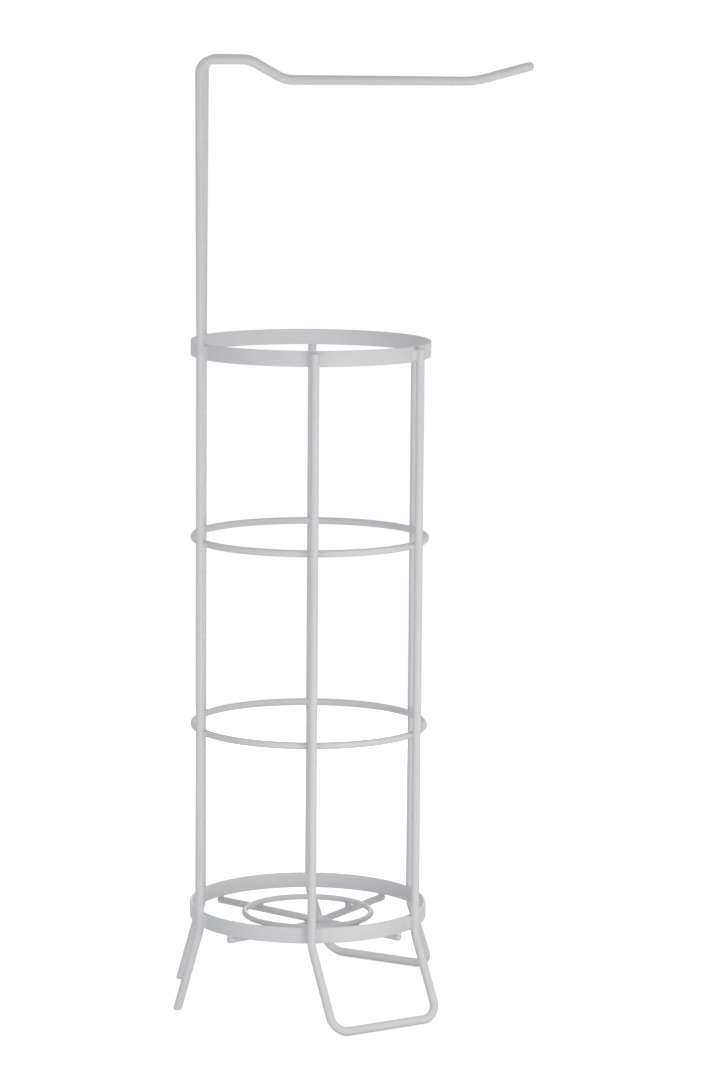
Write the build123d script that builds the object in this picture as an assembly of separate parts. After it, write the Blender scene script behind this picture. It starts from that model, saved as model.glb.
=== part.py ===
from build123d import *

import math
import os

# Free-standing toilet roll stand of bent and welded steel wire: a cage for spare rolls, and a double-wire
# post that turns over it as an arm for the roll in use. Sizes are in millimetres. The cage's axis is upright
# at X = Y = 0, the floor is Z = 0 and the arm points along +X. The finished pieces move together at the end.

# Stock
frame_wire_d = 6.0
ring_wire_d = 5.0
spoke_wire_d = 5.0
base_ring_wire_d = 4.0
strip_height = 11.0
strip_thickness = 2.0
strip_edge_chamfer = 0.4
wire_end_r = 1.2              # easing of the frame wires' cut ends
spoke_end_r = 0.6             # easing of the spokes' cut ends

# Cage
band_outer_d = 170.0
cage_floor_height = 59.0      # floor to the bottom band's lower edge
ring_pitch = 135.0            # from one band or ring to the next, centre to centre
frame_width = 85.0            # between the centres of a frame's two wires
leg_frame_angle = 60.0        # from the arm's direction to each leg frame, about the cage's axis
leg_top_setback = 1.5         # top band's upper edge down to a leg frame's cut ends

# Base
base_ring_outer_d = 95.0
straight_spoke_angle = -41.0  # from the arm's direction, about the cage's axis
cranked_spoke_angle = 49.0    # likewise
spoke_overhang = 0.5          # past the bottom band's outer face
spoke_bend_r = 30.0

# Legs
foot_bar_reach = 109.0        # cage's axis to the middle of a foot bar's wire
post_foot_reach = 93.0        # cage's axis to a hairpin foot, on the floor
kink_drop = 1.0               # bottom band's lower edge down to the corner where a leg splays
kink_bend_r = 18.0
foot_bend_r = 12.0

# Post and arm
post_rise = 196.0             # top band's upper edge up to the middle of the top bar
corner_bend_r = 9.0
arm_reach = 232.0             # middle of the post wires to the end of the tip
arm_step_start = 33.0         # middle of the post wires to the step's upper corner
arm_step_length = 25.0
arm_step_drop = 14.0
arm_step_bend_r = 22.0
arm_root_width = 38.0         # between the wires' centres at the foot of the step
arm_tip_width = 10.0          # between the wires' centres along the raised tip
arm_tip_length = 38.0         # along X
arm_tip_rise = 10.5
arm_tip_kink_r = 60.0
arm_tip_bend_r = 4.2

# Welds
weld_gap = 0.2                # weld metal between a wire and the piece that it lies on
band_weld_half_width = 5.6    # on the band's face
band_weld_margin = 0.5        # clear of the band's edges
wire_weld_d = 3.6             # where two wires cross
spoke_weld_half_width = 2.8   # under the band's edge

# Places worked out from the sizes above
band_r = band_outer_d / 2
ring_r = band_r - ring_wire_d / 2
frame_wire_r = frame_wire_d / 2
upright_r = band_r + weld_gap + frame_wire_r
frame_distance = math.sqrt(upright_r**2 - (frame_width / 2) ** 2)
bottom_band_z = cage_floor_height + strip_height / 2
lower_ring_z = bottom_band_z + ring_pitch
upper_ring_z = lower_ring_z + ring_pitch
top_band_z = upper_ring_z + ring_pitch
cage_top_z = top_band_z + strip_height / 2
leg_top_z = cage_top_z - leg_top_setback
top_weld_start_z = cage_top_z - strip_height + band_weld_margin
bottom_weld_start_z = cage_floor_height + band_weld_margin
bottom_weld_end_z = cage_floor_height + strip_height - band_weld_margin
kink_z = cage_floor_height - kink_drop
spoke_z = cage_floor_height - weld_gap - spoke_wire_d / 2
spoke_middle_z = spoke_z - spoke_wire_d - weld_gap
base_ring_r = (base_ring_outer_d - base_ring_wire_d) / 2
base_ring_z = spoke_z + spoke_wire_d / 2 + weld_gap + base_ring_wire_d / 2
half_frame_angle = math.degrees(math.asin(frame_width / 2 / upright_r))
frame_angles = (180.0, -leg_frame_angle, leg_frame_angle)
upright_angles = [angle + side * half_frame_angle for angle in frame_angles for side in (-1, 1)]
straight_angles = [straight_spoke_angle, straight_spoke_angle + 180.0]
cranked_angles = [cranked_spoke_angle, cranked_spoke_angle + 180.0]


# Shaping of the stock


def wire_along(path, diameter):
    """Round wire with the path as its centre line."""
    return sweep(Plane(origin=path @ 0, z_dir=path % 0) * Circle(diameter / 2), path=path)


def straight_wire(start, end, diameter):
    return wire_along(Line(start, end), diameter)


def bent_wire(points, bend_radii, diameter):
    """One length of wire along the corner points, with each corner bent to its radius."""
    return wire_along(FilletPolyline(*points, radius=bend_radii), diameter)


def round_ends(wire, edge_r):
    """The same wire with its two cut ends eased."""
    return fillet(wire.faces().filter_by(GeomType.PLANE).edges(), edge_r)


def wire_ring(centre_r, diameter, z):
    """A closed ring of round wire, lying level at height z."""
    return Pos(0, 0, z) * Torus(centre_r, diameter / 2)


def strip_band(z):
    """Flat strip rolled on edge to a closed ring, with eased edges, its middle at height z."""
    ring = Cylinder(band_r, strip_height) - Cylinder(band_r - strip_thickness, strip_height)
    return Pos(0, 0, z) * chamfer(ring.edges().filter_by(GeomType.CIRCLE), strip_edge_chamfer)


# Arm hairpin: foot, leg, post, top bar, step, arm and tip in one wire, out on one side and back on the other


def along(start, end, x):
    """The value at x on the straight line between two (x, value) points."""
    return start[1] + (end[1] - start[1]) * (x - start[0]) / (end[0] - start[0])


def hairpin_side(side):
    """Corner points of one of the hairpin's two sides, from its foot to its tip."""
    post_x = -frame_distance
    step_top_x = post_x + arm_step_start
    step_foot_x = step_top_x + arm_step_length
    tip_x = post_x + arm_reach - frame_wire_r
    upturn_x = tip_x - arm_tip_length
    bar_z = cage_top_z + post_rise
    arm_z = bar_z - arm_step_drop

    post = (post_x, frame_width / 2)
    root = (step_foot_x, arm_root_width / 2)
    below_floor_z = -frame_wire_d
    foot_x = along((kink_z, post_x), (0, -post_foot_reach), below_floor_z)
    return [
        (foot_x, side * post[1], below_floor_z),
        (post_x, side * post[1], kink_z),
        (post_x, side * post[1], bar_z),
        (step_top_x, side * along(post, root, step_top_x), bar_z),
        (step_foot_x, side * root[1], arm_z),
        (upturn_x, side * arm_tip_width / 2, arm_z),
        (tip_x, side * arm_tip_width / 2, arm_z + arm_tip_rise),
    ]


def arm_hairpin():
    bends = [kink_bend_r, corner_bend_r, arm_step_bend_r, arm_step_bend_r, arm_tip_kink_r, arm_tip_bend_r]
    points = hairpin_side(-1) + hairpin_side(1)[::-1]
    wire = bent_wire(points, bends + bends[::-1], frame_wire_d)
    return round_ends(split(wire, bisect_by=Plane.XY, keep=Keep.TOP), wire_end_r)


# Leg frames: a U of wire up the outside of the cage, splayed under it to a foot bar on the floor


def leg_frame(angle):
    half = frame_width / 2
    points = [
        (frame_distance, -half, leg_top_z),
        (frame_distance, -half, kink_z),
        (foot_bar_reach, -half, frame_wire_r),
        (foot_bar_reach, half, frame_wire_r),
        (frame_distance, half, kink_z),
        (frame_distance, half, leg_top_z),
    ]
    wire = bent_wire(points, [kink_bend_r, foot_bend_r, foot_bend_r, kink_bend_r], frame_wire_d)
    return Rot(Z=angle) * round_ends(wire, wire_end_r)


# Spokes: two wires across the bottom band's underside, one bent to pass under the other


def spoke_height(middle_z, r):
    """Height at radius r of a spoke that seats under the band's outer edge and is at middle_z on the axis."""
    return along((0, middle_z), (band_r, spoke_z), r)


def straight_spoke():
    end_r = band_r + spoke_overhang
    wire = straight_wire((-end_r, 0, spoke_z), (end_r, 0, spoke_z), spoke_wire_d)
    return Rot(Z=straight_spoke_angle) * round_ends(wire, spoke_end_r)


def cranked_spoke():
    end_r = band_r + spoke_overhang
    end_z = spoke_height(spoke_middle_z, end_r)
    points = [(-end_r, 0, end_z), (0, 0, spoke_middle_z), (end_r, 0, end_z)]
    wire = bent_wire(points, [spoke_bend_r], spoke_wire_d)
    return Rot(Z=cranked_spoke_angle) * round_ends(wire, spoke_end_r)


# Welds: each starts as a blank over the joint and loses the pieces that it joins


def weld(blank, pieces):
    for piece in pieces:
        blank -= piece
    return blank.solids()


def welds_around(blank, angles, pieces):
    """The weld that a blank on the +X side makes, at each of the angles about the cage's axis."""
    return [solid for angle in angles for solid in weld(Rot(Z=angle) * blank, pieces)]


def band_welds(band, uprights, bottom_z, top_z):
    """Seams up the band behind each upright, spread on the band and narrow on the wire."""
    root_r = band_r - strip_thickness / 2
    root_half_width = band_weld_half_width * (upright_r - root_r) / (upright_r - band_r)
    section = Polygon((root_r, -root_half_width), (upright_r, 0), (root_r, root_half_width))
    blank = Pos(0, 0, bottom_z) * extrude(section, top_z - bottom_z)
    return welds_around(blank, upright_angles, [band, *uprights])


def ring_welds(ring, uprights, z):
    """Nuggets between a ring and the uprights that pass outside it."""
    blank = straight_wire((ring_r, 0, z), (upright_r, 0, z), wire_weld_d)
    return welds_around(blank, upright_angles, [ring, *uprights])


def spoke_end_welds(straight, cranked):
    """Short seams between the bottom band's lower edge and the spokes' ends."""
    band_inner_edge = (band_r - strip_thickness, 0, cage_floor_height)
    under_band = Plane(origin=band_inner_edge, x_dir=(0, 1, 0), z_dir=(1, 0, 0))
    depth = cage_floor_height - spoke_z
    section = Polygon((-spoke_weld_half_width, 0), (0, -depth), (spoke_weld_half_width, 0))
    blank = extrude(under_band * section, strip_thickness)
    return welds_around(blank, straight_angles + cranked_angles, [straight, cranked])


def base_ring_welds(ring, straight, cranked):
    """Nuggets between the base ring and the spokes that it lies on, taller over the cranked one."""
    nuggets = []
    for spoke, middle_z, angles in (
        (straight, spoke_z, straight_angles),
        (cranked, spoke_middle_z, cranked_angles),
    ):
        start = (base_ring_r, 0, spoke_height(middle_z, base_ring_r))
        blank = straight_wire(start, (base_ring_r, 0, base_ring_z), wire_weld_d)
        nuggets += welds_around(blank, angles, [ring, spoke])
    return nuggets


def spoke_cross_weld(straight, cranked):
    """The nugget between the spokes where one passes under the other."""
    blank = straight_wire((0, 0, spoke_middle_z), (0, 0, spoke_z), wire_weld_d)
    return weld(blank, [straight, cranked])


# The stand, put together about the cage's axis

arm = arm_hairpin()
front_legs = leg_frame(-leg_frame_angle)
back_legs = leg_frame(leg_frame_angle)
uprights = [arm, front_legs, back_legs]
top_band = strip_band(top_band_z)
upper_ring = wire_ring(ring_r, ring_wire_d, upper_ring_z)
lower_ring = wire_ring(ring_r, ring_wire_d, lower_ring_z)
bottom_band = strip_band(bottom_band_z)
straight = straight_spoke()
cranked = cranked_spoke()
base_ring = wire_ring(base_ring_r, base_ring_wire_d, base_ring_z)

nodes = {
    "arm_hairpin": arm.solids(),
    "front_leg_frame": front_legs.solids(),
    "back_leg_frame": back_legs.solids(),
    "top_band": top_band.solids(),
    "upper_ring": upper_ring.solids(),
    "lower_ring": lower_ring.solids(),
    "bottom_band": bottom_band.solids(),
    "straight_spoke": straight.solids(),
    "cranked_spoke": cranked.solids(),
    "base_ring": base_ring.solids(),
    "top_band_welds": band_welds(top_band, uprights, top_weld_start_z, leg_top_z - wire_end_r),
    "upper_ring_welds": ring_welds(upper_ring, uprights, upper_ring_z),
    "lower_ring_welds": ring_welds(lower_ring, uprights, lower_ring_z),
    "bottom_band_welds": band_welds(bottom_band, uprights, bottom_weld_start_z, bottom_weld_end_z),
    "spoke_end_welds": spoke_end_welds(straight, cranked),
    "base_ring_welds": base_ring_welds(base_ring, straight, cranked),
    "spoke_cross_weld": spoke_cross_weld(straight, cranked),
}

# The origin is on the floor, under the middle of the stand's outline
outline = Compound([solid for solids in nodes.values() for solid in solids]).bounding_box()
to_origin = Pos(-outline.center().X, -outline.center().Y, 0)

os.makedirs("parts", exist_ok=True)
for name, solids in nodes.items():
    export_step(Compound([to_origin * solid for solid in solids]), f"parts/{name}.step")
    print(name, len(solids), "solids", round(sum(solid.volume for solid in solids), 1), "mm3")
print("cage axis at x =", round(to_origin.position.X, 3))
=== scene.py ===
import math

import bmesh
import bpy
from mathutils import Matrix, Vector


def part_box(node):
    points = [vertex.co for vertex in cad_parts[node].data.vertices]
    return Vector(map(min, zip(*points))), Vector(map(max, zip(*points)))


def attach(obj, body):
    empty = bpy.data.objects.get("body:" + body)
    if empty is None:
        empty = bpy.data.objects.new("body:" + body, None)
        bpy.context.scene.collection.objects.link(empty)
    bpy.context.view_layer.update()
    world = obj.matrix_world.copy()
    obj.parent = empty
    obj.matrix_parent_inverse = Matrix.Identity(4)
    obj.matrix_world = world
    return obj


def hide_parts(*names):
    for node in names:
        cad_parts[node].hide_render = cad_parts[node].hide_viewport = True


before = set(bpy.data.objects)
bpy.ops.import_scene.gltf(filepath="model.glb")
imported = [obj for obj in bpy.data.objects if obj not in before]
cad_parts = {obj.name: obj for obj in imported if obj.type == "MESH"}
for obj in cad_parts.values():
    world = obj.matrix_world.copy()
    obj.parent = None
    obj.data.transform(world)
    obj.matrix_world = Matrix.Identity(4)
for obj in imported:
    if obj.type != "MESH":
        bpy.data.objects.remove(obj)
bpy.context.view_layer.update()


# Bottom and top bands: mild steel strip, 11 by 2 mm, rolled on edge to a ring and butt welded shut.
# The whole stand is powder coated in one go after welding: a light grey satin that rounds every edge and
# has a fine orange peel.

strip_thickness = 0.002
strip_edge_r = 0.0005
band_steps = 192
edge_steps = 4
sharp_edge = math.radians(42)
merge_distance = 1e-6
grey = (0.610, 0.6055, 0.611)
grey_in_thin_coat = (0.588, 0.5835, 0.590)
cloud_scale = 26.0
cloud_detail = 3.0
tone_span = (0.35, 0.62)
sheen_span = (0.3, 0.7)
coat_roughness = (0.46, 0.58)
coat_specular = 0.28
peel_scale = 620.0
peel_detail = 1.0
peel_strength = 0.6
peel_depth = 0.0002
grain_scale = 2600.0
grain_detail = 2.0
grain_strength = 0.3
grain_depth = 0.00004


def powder_coat():
    """Light grey satin powder coat: cloudy in tone, with an orange peel and the grain of the powder."""
    finish = bpy.data.materials.new("light_grey_powder_coat")
    finish.use_nodes = True
    nodes = finish.node_tree.nodes
    links = finish.node_tree.links
    shader = nodes["Principled BSDF"]
    shader.inputs["Specular IOR Level"].default_value = coat_specular
    place = nodes.new("ShaderNodeTexCoord")

    def noise(scale, detail):
        """A socket with noise of this scale over the piece."""
        texture = nodes.new("ShaderNodeTexNoise")
        texture.inputs["Scale"].default_value = scale
        texture.inputs["Detail"].default_value = detail
        links.new(place.outputs["Object"], texture.inputs["Vector"])
        return texture.outputs["Fac"]

    def bump(height, strength, depth):
        """A bump node that reads this socket as the height."""
        relief = nodes.new("ShaderNodeBump")
        relief.inputs["Strength"].default_value = strength
        relief.inputs["Distance"].default_value = depth
        links.new(height, relief.inputs["Height"])
        return relief

    clouds = noise(cloud_scale, cloud_detail)
    tone = nodes.new("ShaderNodeValToRGB")
    tone.color_ramp.elements[0].position = tone_span[0]
    tone.color_ramp.elements[0].color = (*grey_in_thin_coat, 1.0)
    tone.color_ramp.elements[1].position = tone_span[1]
    tone.color_ramp.elements[1].color = (*grey, 1.0)
    links.new(clouds, tone.inputs["Fac"])
    links.new(tone.outputs["Color"], shader.inputs["Base Color"])

    sheen = nodes.new("ShaderNodeMapRange")
    sheen.inputs["From Min"].default_value = sheen_span[0]
    sheen.inputs["From Max"].default_value = sheen_span[1]
    sheen.inputs["To Min"].default_value = coat_roughness[0]
    sheen.inputs["To Max"].default_value = coat_roughness[1]
    links.new(clouds, sheen.inputs["Value"])
    links.new(sheen.outputs["Result"], shader.inputs["Roughness"])

    peel = bump(noise(peel_scale, peel_detail), peel_strength, peel_depth)
    grain = bump(noise(grain_scale, grain_detail), grain_strength, grain_depth)
    links.new(peel.outputs["Normal"], grain.inputs["Normal"])
    links.new(grain.outputs["Normal"], shader.inputs["Normal"])
    return finish


coat = powder_coat()


def coated_piece(node, shape):
    """The finished piece for a CAD node, from its closed shape."""
    bmesh.ops.remove_doubles(shape, verts=shape.verts, dist=merge_distance)
    bmesh.ops.recalc_face_normals(shape, faces=shape.faces)
    mesh = bpy.data.meshes.new(node + "_coated")
    shape.to_mesh(mesh)
    shape.free()
    mesh.shade_smooth()
    mesh.set_sharp_from_angle(angle=sharp_edge)
    mesh.materials.append(coat)
    piece = bpy.data.objects.new(node + "_coated", mesh)
    bpy.context.scene.collection.objects.link(piece)
    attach(piece, "root")
    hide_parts(node)


def spun_ring(node, shape):
    """Turns a section, an outline on the +X side of the cage's axis, into a closed ring."""
    outline = shape.verts[:] + shape.edges[:]
    bmesh.ops.spin(
        shape, geom=outline, cent=cage_axis, axis=(0, 0, 1), angle=math.tau, steps=band_steps, use_merge=True
    )
    coated_piece(node, shape)


bottom_low, bottom_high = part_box("bottom_band")
top_low, top_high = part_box("top_band")
cage_axis = Vector(((bottom_low.x + bottom_high.x) / 2, (bottom_low.y + bottom_high.y) / 2, 0))
band_r = (bottom_high.x - bottom_low.x) / 2
upright_section = Matrix.Rotation(math.pi / 2, 4, "X")

for node in ("bottom_band", "top_band"):
    low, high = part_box(node)
    strip = bmesh.new()
    bmesh.ops.create_grid(strip, x_segments=1, y_segments=1, size=strip_thickness / 2)
    bmesh.ops.scale(strip, vec=(1, (high.z - low.z) / strip_thickness, 1), verts=strip.verts)
    bmesh.ops.bevel(
        strip, geom=strip.verts[:], offset=strip_edge_r, offset_type="OFFSET", segments=edge_steps,
        profile=0.5, affect="VERTICES", material=-1,
    )
    bmesh.ops.delete(strip, geom=strip.faces[:], context="FACES_ONLY")
    middle = cage_axis + Vector((band_r - strip_thickness / 2, 0, (low.z + high.z) / 2))
    bmesh.ops.transform(strip, matrix=Matrix.Translation(middle) @ upright_section, verts=strip.verts)
    spun_ring(node, strip)


# Upper and lower rings: 5 mm round wire, coiled, cut to one turn and butt welded.
# They lie inside the uprights and share the bands' outer size, so that a roll slides past them.

wire_sides = 40


def wire_ring(node):
    """Makes a ring of round wire in its node's place. Gives its radius, the wire's radius and its height."""
    low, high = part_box(node)
    wire_r = (high.z - low.z) / 2
    ring_r = (high.x - low.x) / 2 - wire_r
    ring_z = (low.z + high.z) / 2
    middle = cage_axis + Vector((ring_r, 0, ring_z))
    wire = bmesh.new()
    bmesh.ops.create_circle(
        wire, radius=wire_r, segments=wire_sides, matrix=Matrix.Translation(middle) @ upright_section
    )
    spun_ring(node, wire)
    return ring_r, wire_r, ring_z


cage_rings = {node: wire_ring(node) for node in ("upper_ring", "lower_ring")}


# Spokes: two lengths of 5 mm wire across the underside of the bottom band, with tumbled ends.
# One is straight, and the other is bent down in the middle to pass under it. Both end about flush with the
# band's outer face.

spoke_wire_r = 0.0025
spoke_overhang = 0.0005
spoke_gap = 0.0002
spoke_bend_r = 0.030
spoke_edge_r = 0.0006
straight_spoke_angle = -41
cranked_spoke_angle = 49
bend_step = math.radians(4)
least_bend_steps = 2
side_face_edges = 4


def along_wire(shape, end, run):
    """Draws the wire's open end out along a straight run, and gives its new end."""
    rim = [item for item in end if isinstance(item, bmesh.types.BMEdge)]
    new_end = bmesh.ops.extrude_edge_only(shape, edges=rim)["geom"]
    points = [item for item in new_end if isinstance(item, bmesh.types.BMVert)]
    bmesh.ops.translate(shape, verts=points, vec=run)
    return [item for item in new_end if not isinstance(item, bmesh.types.BMFace)]


def round_bend(shape, end, corner, incoming, outgoing, bend_r):
    """Turns the wire's open end round a bend into the outgoing direction, and gives its new end."""
    turn = incoming.angle(outgoing)
    axis = incoming.cross(outgoing).normalized()
    bend_start = corner - incoming * bend_r * math.tan(turn / 2)
    bent = bmesh.ops.spin(
        shape, geom=end, cent=bend_start + axis.cross(incoming) * bend_r, axis=axis, angle=turn,
        steps=max(least_bend_steps, math.ceil(turn / bend_step)),
    )
    return bent["geom_last"]


def bent_wire(corners, bend_radii, wire_r):
    """One length of round wire through the corner points, with each inner corner bent to its radius."""
    shape = bmesh.new()
    directions = [(after - before).normalized() for before, after in zip(corners, corners[1:])]
    facing = directions[0].to_track_quat("Z", "Y").to_matrix().to_4x4()
    start = Matrix.Translation(corners[0]) @ facing
    bmesh.ops.create_circle(shape, cap_ends=True, radius=wire_r, segments=wire_sides, matrix=start)
    end = shape.verts[:] + shape.edges[:]
    here = corners[0]
    for corner, bend_r, incoming, outgoing in zip(corners[1:], bend_radii, directions, directions[1:]):
        setback = bend_r * math.tan(incoming.angle(outgoing) / 2)
        end = along_wire(shape, end, corner - incoming * setback - here)
        end = round_bend(shape, end, corner, incoming, outgoing, bend_r)
        here = corner + outgoing * setback
    end = along_wire(shape, end, corners[-1] - here)
    bmesh.ops.edgeloop_fill(shape, edges=[item for item in end if isinstance(item, bmesh.types.BMEdge)])
    return shape


def ease_ends(shape, edge_r):
    """Rounds the rims of a wire's two cut ends, its only faces with more than four edges."""
    rims = [edge for face in shape.faces if len(face.edges) > side_face_edges for edge in face.edges]
    bmesh.ops.bevel(
        shape, geom=rims, offset=edge_r, offset_type="OFFSET", segments=edge_steps,
        profile=0.5, affect="EDGES", material=-1,
    )


def around_axis(angle):
    """Turns a place on the +X side of the cage's axis to an angle about it."""
    return Matrix.Translation(cage_axis) @ Matrix.Rotation(math.radians(angle), 4, "Z")


spoke_z = bottom_low.z - spoke_gap - spoke_wire_r
crossing_z = spoke_z - 2 * spoke_wire_r - spoke_gap
spoke_end_r = band_r + spoke_overhang
spoke_end_z = crossing_z + (spoke_z - crossing_z) * spoke_end_r / band_r
straight_route = [Vector((-spoke_end_r, 0, spoke_z)), Vector((spoke_end_r, 0, spoke_z))]
cranked_route = [
    Vector((-spoke_end_r, 0, spoke_end_z)),
    Vector((0, 0, crossing_z)),
    Vector((spoke_end_r, 0, spoke_end_z)),
]

for node, angle, route in (
    ("straight_spoke", straight_spoke_angle, straight_route),
    ("cranked_spoke", cranked_spoke_angle, cranked_route),
):
    spoke = bent_wire([around_axis(angle) @ point for point in route], [spoke_bend_r], spoke_wire_r)
    ease_ends(spoke, spoke_edge_r)
    coated_piece(node, spoke)


# Base ring: 4 mm wire closed to a small ring and welded on top of the spokes.
# The lowest spare roll sits on it.

base_ring_r, base_wire_r, base_ring_z = wire_ring("base_ring")


# Leg frames: each is one length of 6 mm wire bent to a U, with its closed end as a foot bar on the floor.
# The two wires splay out under the cage, run up outside the rings and end just under the top band's edge.

frame_wire_r = 0.003
wire_end_r = 0.0012
weld_gap = 0.0002
frame_width = 0.085
foot_bar_reach = 0.109
kink_drop = 0.001
leg_top_setback = 0.0015
kink_bend_r = 0.018
foot_bend_r = 0.012
leg_frame_angle = 60

upright_r = band_r + weld_gap + frame_wire_r
frame_distance = math.sqrt(upright_r**2 - (frame_width / 2) ** 2)
kink_z = bottom_low.z - kink_drop
leg_top_z = top_high.z - leg_top_setback
half_leg = [
    Vector((frame_distance, -frame_width / 2, leg_top_z)),
    Vector((frame_distance, -frame_width / 2, kink_z)),
    Vector((foot_bar_reach, -frame_width / 2, frame_wire_r)),
]
other_side = Matrix.Scale(-1, 4, (0, 1, 0))
leg_route = half_leg + [other_side @ point for point in reversed(half_leg)]
leg_bends = [kink_bend_r, foot_bend_r, foot_bend_r, kink_bend_r]

for node, angle in (("front_leg_frame", -leg_frame_angle), ("back_leg_frame", leg_frame_angle)):
    frame_wire = bent_wire([around_axis(angle) @ point for point in leg_route], leg_bends, frame_wire_r)
    ease_ends(frame_wire, wire_end_r)
    coated_piece(node, frame_wire)


# Arm hairpin: one length of 6 mm wire, from a foot on the floor up the cage as a leg and a post, over
# a corner, down a step, along the arm and round its raised tip, then back the same way to a second foot.
# The feet are cut level and tumbled. Above the cage the post's wires lean apart a little, as bent wire does.

post_foot_reach = 0.093
post_lean = 0.001
post_lean_r = 0.5
corner_bend_r = 0.009
arm_step_start = 0.033
arm_step_length = 0.025
arm_step_drop = 0.014
arm_step_bend_r = 0.022
arm_root_width = 0.038
arm_tip_width = 0.010
arm_tip_length = 0.038
arm_tip_rise = 0.0105
arm_tip_kink_r = 0.060
arm_tip_bend_r = 0.0042
cut_allowance = 0.006
foot_edge_r = 0.0016

arm_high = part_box("arm_hairpin")[1]
post_x = -frame_distance
step_top_x = post_x + arm_step_start
step_foot_x = step_top_x + arm_step_length
tip_x = arm_high.x - cage_axis.x - frame_wire_r
upturn_x = tip_x - arm_tip_length
bar_z = arm_high.z - frame_wire_r
arm_z = bar_z - arm_step_drop
foot_splay = (post_foot_reach - frame_distance) / kink_z
post_half = frame_width / 2
root_half = arm_root_width / 2
tip_half = arm_tip_width / 2
step_top_half = post_half + (root_half - post_half) * arm_step_start / (arm_step_start + arm_step_length)
side_bends = [
    kink_bend_r, post_lean_r, corner_bend_r, arm_step_bend_r, arm_step_bend_r,
    arm_tip_kink_r, arm_tip_bend_r,
]


def hairpin_side(side, lean):
    """Corner points of the hairpin's front side, -1, or rear side, 1, from its foot to the arm's tip.

    Above the cage, lean moves the post's top along X.
    """
    return [
        Vector((-post_foot_reach - foot_splay * cut_allowance, side * post_half, -cut_allowance)),
        Vector((post_x, side * post_half, kink_z)),
        Vector((post_x, side * post_half, top_high.z)),
        Vector((post_x + lean, side * post_half, bar_z)),
        Vector((step_top_x, side * step_top_half, bar_z)),
        Vector((step_foot_x, side * root_half, arm_z)),
        Vector((upturn_x, side * tip_half, arm_z)),
        Vector((tip_x, side * tip_half, arm_z + arm_tip_rise)),
    ]


arm_route = hairpin_side(-1, -post_lean) + hairpin_side(1, post_lean)[::-1]
hairpin = bent_wire([cage_axis + point for point in arm_route], side_bends + side_bends[::-1], frame_wire_r)
everything = hairpin.verts[:] + hairpin.edges[:] + hairpin.faces[:]
bmesh.ops.bisect_plane(hairpin, geom=everything, plane_co=(0, 0, 0), plane_no=(0, 0, 1), clear_inner=True)
bmesh.ops.holes_fill(hairpin, edges=hairpin.edges[:])
ease_ends(hairpin, foot_edge_r)
coated_piece("arm_hairpin", hairpin)


# Welds on the bands and rings: a seam of steel each side of every upright, under the coat.
# Each is a hollow fillet between the wire and the band or ring, and dies away into the groove at its ends.

band_seam_r = 0.0029
ring_seam_r = 0.0020
seam_end_r = 0.0007
seam_root = 0.0012
seam_parting = 0.0002
seam_margin = 0.0004
band_seam_fade = 0.0024
ring_seam_half = 0.0019
ring_seam_fade = 0.0018
seam_arc_steps = 10
seam_fade_steps = 6


def seam_outline(shape, z, face_r, fillet_r):
    """Outline at height z of a fillet between an upright at angle 0, on its +Y side, and a round face."""
    made = len(shape.edges)
    axis = Vector((0, 0, z))
    upright = Vector((upright_r, 0, z))
    to_centre = face_r + fillet_r
    centre_x = (upright_r**2 + to_centre**2 - (frame_wire_r + fillet_r) ** 2) / (2 * upright_r)
    centre = Vector((centre_x, math.sqrt(to_centre**2 - centre_x**2), z))
    sweep = (axis - centre).angle(upright - centre)
    toe = shape.verts.new(axis + (centre - axis) * face_r / to_centre)
    arc = bmesh.ops.spin(shape, geom=[toe], cent=centre, axis=(0, 0, 1), angle=sweep, steps=seam_arc_steps)
    in_wire = shape.verts.new((upright_r - frame_wire_r + seam_root, seam_parting, z))
    in_face = shape.verts.new((face_r - seam_root, seam_parting, z))
    under_toe = shape.verts.new(axis + (toe.co - axis) * (face_r - seam_root) / face_r)
    corners = [arc["geom_last"][0], in_wire, in_face, under_toe, toe]
    for before, after in zip(corners, corners[1:]):
        shape.edges.new((before, after))
    return shape.edges[made:]


def seam_pair(bottom_z, top_z, fade, full_r, face_r_at):
    """The two seams of an upright at angle 0, rounded off over the fade at both ends."""
    lower = []
    for step in range(seam_fade_steps + 1):
        turn = math.pi / 2 * step / seam_fade_steps
        fillet_r = seam_end_r + (full_r - seam_end_r) * math.sin(turn)
        lower.append((bottom_z + fade * (1 - math.cos(turn)), fillet_r))
    upper = [(bottom_z + top_z - z, fillet_r) for z, fillet_r in reversed(lower)]
    shape = bmesh.new()
    outlines = [seam_outline(shape, z, face_r_at(z), fillet_r) for z, fillet_r in lower + upper]
    for below, above in zip(outlines, outlines[1:]):
        bmesh.ops.bridge_loops(shape, edges=below + above)
    bmesh.ops.edgeloop_fill(shape, edges=outlines[0])
    bmesh.ops.edgeloop_fill(shape, edges=outlines[-1])
    one_side = shape.verts[:] + shape.edges[:] + shape.faces[:]
    bmesh.ops.mirror(shape, geom=one_side, axis="Y", merge_dist=0)
    return shape


def around_cage(shape, angles):
    """Copies of a shape at angles about the cage's axis, in place of the one at angle 0."""
    pattern_points = shape.verts[:]
    pattern = pattern_points + shape.edges[:] + shape.faces[:]
    for angle in angles:
        copy = bmesh.ops.duplicate(shape, geom=pattern)
        points = [item for item in copy["geom"] if isinstance(item, bmesh.types.BMVert)]
        bmesh.ops.transform(shape, matrix=around_axis(angle), verts=points)
    bmesh.ops.delete(shape, geom=pattern_points, context="VERTS")
    return shape


def band_seams(band_low, top_z, angles):
    """The seams of the uprights at these angles, from a band's lower edge up to the height top_z."""
    seams = seam_pair(band_low.z + seam_margin, top_z, band_seam_fade, band_seam_r, lambda z: band_r)
    return around_cage(seams, angles)


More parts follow.
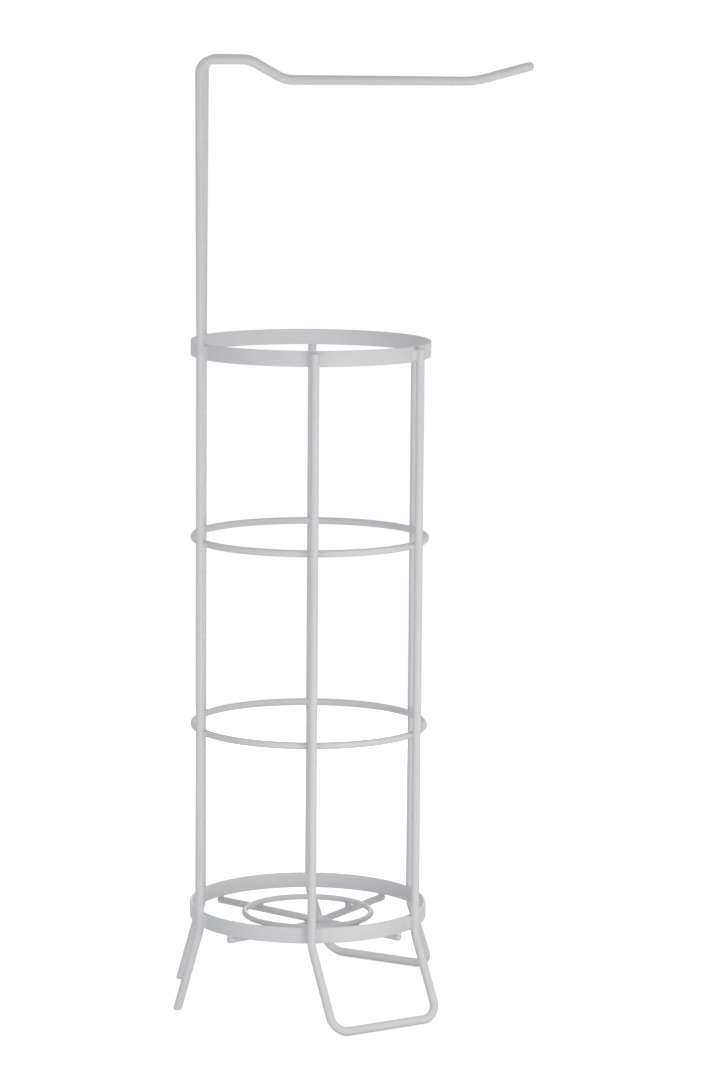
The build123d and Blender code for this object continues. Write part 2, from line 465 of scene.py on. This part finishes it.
def joined(shape, other):
    """Both shapes as one."""
    mesh = bpy.data.meshes.new("joined_shape")
    other.to_mesh(mesh)
    other.free()
    shape.from_mesh(mesh)
    bpy.data.meshes.remove(mesh)
    return shape


half_frame_angle = math.degrees(math.asin(frame_width / 2 / upright_r))
frame_angles = (180, -leg_frame_angle, leg_frame_angle)
upright_angles = [angle + side * half_frame_angle for angle in frame_angles for side in (-1, 1)]
post_angles = upright_angles[:2]
leg_angles = upright_angles[2:]

coated_piece("bottom_band_welds", band_seams(bottom_low, bottom_high.z - seam_margin, upright_angles))
on_post = band_seams(top_low, top_high.z - seam_margin, post_angles)
on_legs = band_seams(top_low, leg_top_z - seam_margin, leg_angles)
coated_piece("top_band_welds", joined(on_post, on_legs))

for ring, (ring_r, ring_wire_r, ring_z) in cage_rings.items():

    def ring_face_r(z):
        """The ring's outer radius at height z."""
        return ring_r + math.sqrt(ring_wire_r**2 - (z - ring_z) ** 2)

    seams = seam_pair(
        ring_z - ring_seam_half, ring_z + ring_seam_half, ring_seam_fade, ring_seam_r, ring_face_r
    )
    coated_piece(ring + "_welds", around_cage(seams, upright_angles))


# Welds of the base: the base ring is welded down on the spokes, the spokes to each other where they cross,
# and their ends to the band's lower edge. The steel flows into waisted plugs between two wires, and is
# squeezed out to small lumps under the band.

lump_size = Vector((0.0016, 0.0031, 0.0012))
plug_end_r = 0.0029
plug_waist_r = 0.0022
plug_root = 0.0009
plug_arc_steps = 8
plug_sides = 24
lump_rows = 16


def plug(r, lower_face_z, upper_face_z):
    """A waisted plug at radius r on the +X side, rooted in the wire below it and the wire above it."""
    half_height = (upper_face_z - lower_face_z) / 2 + plug_root
    flare = plug_end_r - plug_waist_r
    hollow_r = (half_height**2 + flare**2) / (2 * flare)
    hollow_centre = (plug_waist_r + hollow_r, 0, 0)
    sweep = 2 * math.atan2(half_height, hollow_r - flare)
    shape = bmesh.new()
    foot = shape.verts.new((plug_end_r, 0, -half_height))
    bmesh.ops.spin(shape, geom=[foot], cent=hollow_centre, axis=(0, 1, 0), angle=sweep, steps=plug_arc_steps)
    side = shape.verts[:] + shape.edges[:]
    bmesh.ops.spin(
        shape, geom=side, cent=(0, 0, 0), axis=(0, 0, 1), angle=math.tau, steps=plug_sides, use_merge=True
    )
    bmesh.ops.holes_fill(shape, edges=shape.edges[:])
    bmesh.ops.translate(shape, verts=shape.verts, vec=(r, 0, (lower_face_z + upper_face_z) / 2))
    return shape


straight_angles = [straight_spoke_angle, straight_spoke_angle + 180]
cranked_angles = [cranked_spoke_angle, cranked_spoke_angle + 180]

lump = bmesh.new()
bmesh.ops.create_uvsphere(lump, u_segments=plug_sides, v_segments=lump_rows, radius=1)
bmesh.ops.scale(lump, vec=lump_size, verts=lump.verts)
bmesh.ops.translate(lump, verts=lump.verts, vec=(band_r - strip_thickness / 2, 0, bottom_low.z))
coated_piece("spoke_end_welds", around_cage(lump, straight_angles + cranked_angles))

ring_under_z = base_ring_z - base_wire_r
low_spoke_z = crossing_z + (spoke_z - crossing_z) * base_ring_r / band_r
on_straight = around_cage(plug(base_ring_r, spoke_z + spoke_wire_r, ring_under_z), straight_angles)
on_cranked = around_cage(plug(base_ring_r, low_spoke_z + spoke_wire_r, ring_under_z), cranked_angles)
coated_piece("base_ring_welds", joined(on_straight, on_cranked))

cross_plug = plug(0, crossing_z + spoke_wire_r, spoke_z - spoke_wire_r)
coated_piece("spoke_cross_weld", around_cage(cross_plug, [0]))


# Floor: a wide sheet of white studio paper. Its glow, which only the camera and reflections see, makes it
# white up to the stand's soft shadow.
# The room round it is white to look at and gives an even, dimmer and slightly cool light.

floor_size = 40.0
paper_white = 0.76
paper_glow = 0.495
room_light = 0.68
room_colour = (0.985, 0.985, 1.030)

floor_shape = bmesh.new()
bmesh.ops.create_grid(floor_shape, x_segments=1, y_segments=1, size=floor_size / 2)
floor_mesh = bpy.data.meshes.new("studio_floor")
floor_shape.to_mesh(floor_mesh)
floor_shape.free()
floor = bpy.data.objects.new("studio_floor", floor_mesh)
bpy.context.scene.collection.objects.link(floor)


def seen_directly(nodes, links):
    """A socket that is 1 for rays that show the background to the camera, straight or by reflection."""
    path = nodes.new("ShaderNodeLightPath")
    mirrored = nodes.new("ShaderNodeMath")
    mirrored.operation = "MAXIMUM"
    links.new(path.outputs["Is Glossy Ray"], mirrored.inputs[0])
    links.new(path.outputs["Is Transmission Ray"], mirrored.inputs[1])
    seen = nodes.new("ShaderNodeMath")
    seen.operation = "MAXIMUM"
    links.new(path.outputs["Is Camera Ray"], seen.inputs[0])
    links.new(mirrored.outputs["Value"], seen.inputs[1])
    return seen.outputs["Value"]


paper = bpy.data.materials.new("studio_paper")
paper.use_nodes = True
nodes = paper.node_tree.nodes
links = paper.node_tree.links
nodes.remove(nodes["Principled BSDF"])
matt = nodes.new("ShaderNodeBsdfDiffuse")
matt.inputs["Color"].default_value = (paper_white, paper_white, paper_white, 1.0)
glow = nodes.new("ShaderNodeEmission")
share = nodes.new("ShaderNodeMath")
share.operation = "MULTIPLY"
share.inputs[1].default_value = paper_glow
links.new(seen_directly(nodes, links), share.inputs[0])
links.new(share.outputs["Value"], glow.inputs["Strength"])
both = nodes.new("ShaderNodeAddShader")
links.new(matt.outputs["BSDF"], both.inputs[0])
links.new(glow.outputs["Emission"], both.inputs[1])
links.new(both.outputs["Shader"], nodes["Material Output"].inputs["Surface"])
floor_mesh.materials.append(paper)

room = bpy.data.worlds.new("studio_room")
bpy.context.scene.world = room
room.use_nodes = True
nodes = room.node_tree.nodes
links = room.node_tree.links
dim = nodes["Background"]
dim.inputs["Color"].default_value = (*room_colour, 1.0)
dim.inputs["Strength"].default_value = room_light
white = nodes.new("ShaderNodeBackground")
white.inputs["Color"].default_value = (1.0, 1.0, 1.0, 1.0)
choice = nodes.new("ShaderNodeMixShader")
links.new(seen_directly(nodes, links), choice.inputs["Fac"])
links.new(dim.outputs["Background"], choice.inputs[1])
links.new(white.outputs["Background"], choice.inputs[2])
links.new(choice.outputs["Shader"], nodes["World Output"].inputs["Surface"])


# Lamps: low, wide soft boxes near the stand, two in front and one behind.
# The right one is warm and much stronger than the cool left one, so the wires are brightest a little right
# of their middles. The arm is farthest from all three, and so the dimmest.

lamp_width = 0.6
lamp_height = 0.3
lamp_place = Vector((0, -1.1, 0.22))
lamp_angle = 35
back_lamp_angle = 175

for name, angle, power, colour in (
    ("right_soft_box", lamp_angle, 4.25, (1.0, 0.975, 0.87)),
    ("left_soft_box", -lamp_angle, 1.7, (0.82, 0.89, 1.0)),
    ("back_soft_box", back_lamp_angle, 3.2, (1.0, 0.985, 0.95)),
):
    lamp = bpy.data.lights.new(name, "AREA")
    lamp.shape = "RECTANGLE"
    lamp.size = lamp_width
    lamp.size_y = lamp_height
    lamp.energy = power
    lamp.color = colour
    soft_box = bpy.data.objects.new(name, lamp)
    soft_box.location = Matrix.Rotation(math.radians(angle), 4, "Z") @ lamp_place
    soft_box.rotation_euler = (math.pi / 2, 0, math.radians(angle))
    soft_box.visible_camera = False
    bpy.context.scene.collection.objects.link(soft_box)


# Camera: a long lens, 2.7 m in front of the stand and a little above its top.
# It looks slightly right and down, and leans a little.

camera_place = cage_axis + Vector((-0.0286, -2.6605, 0.7205))
camera_heading = math.radians(-1.39)
camera_pitch = math.radians(8.316)
camera_roll = math.radians(0.45)
sensor_width = 36.0
lens_length = 125.74

camera = bpy.data.cameras.new("front_camera")
camera.sensor_width = sensor_width
camera.lens = lens_length
viewpoint = bpy.data.objects.new("front_camera", camera)
turn = Matrix.Rotation(camera_heading, 4, "Z")
tilt = Matrix.Rotation(math.pi / 2 - camera_pitch, 4, "X")
roll = Matrix.Rotation(camera_roll, 4, "Z")
viewpoint.matrix_world = Matrix.Translation(camera_place) @ turn @ tilt @ roll
bpy.context.scene.collection.objects.link(viewpoint)
bpy.context.scene.camera = viewpoint
bpy.context.scene.view_settings.view_transform = "Standard"
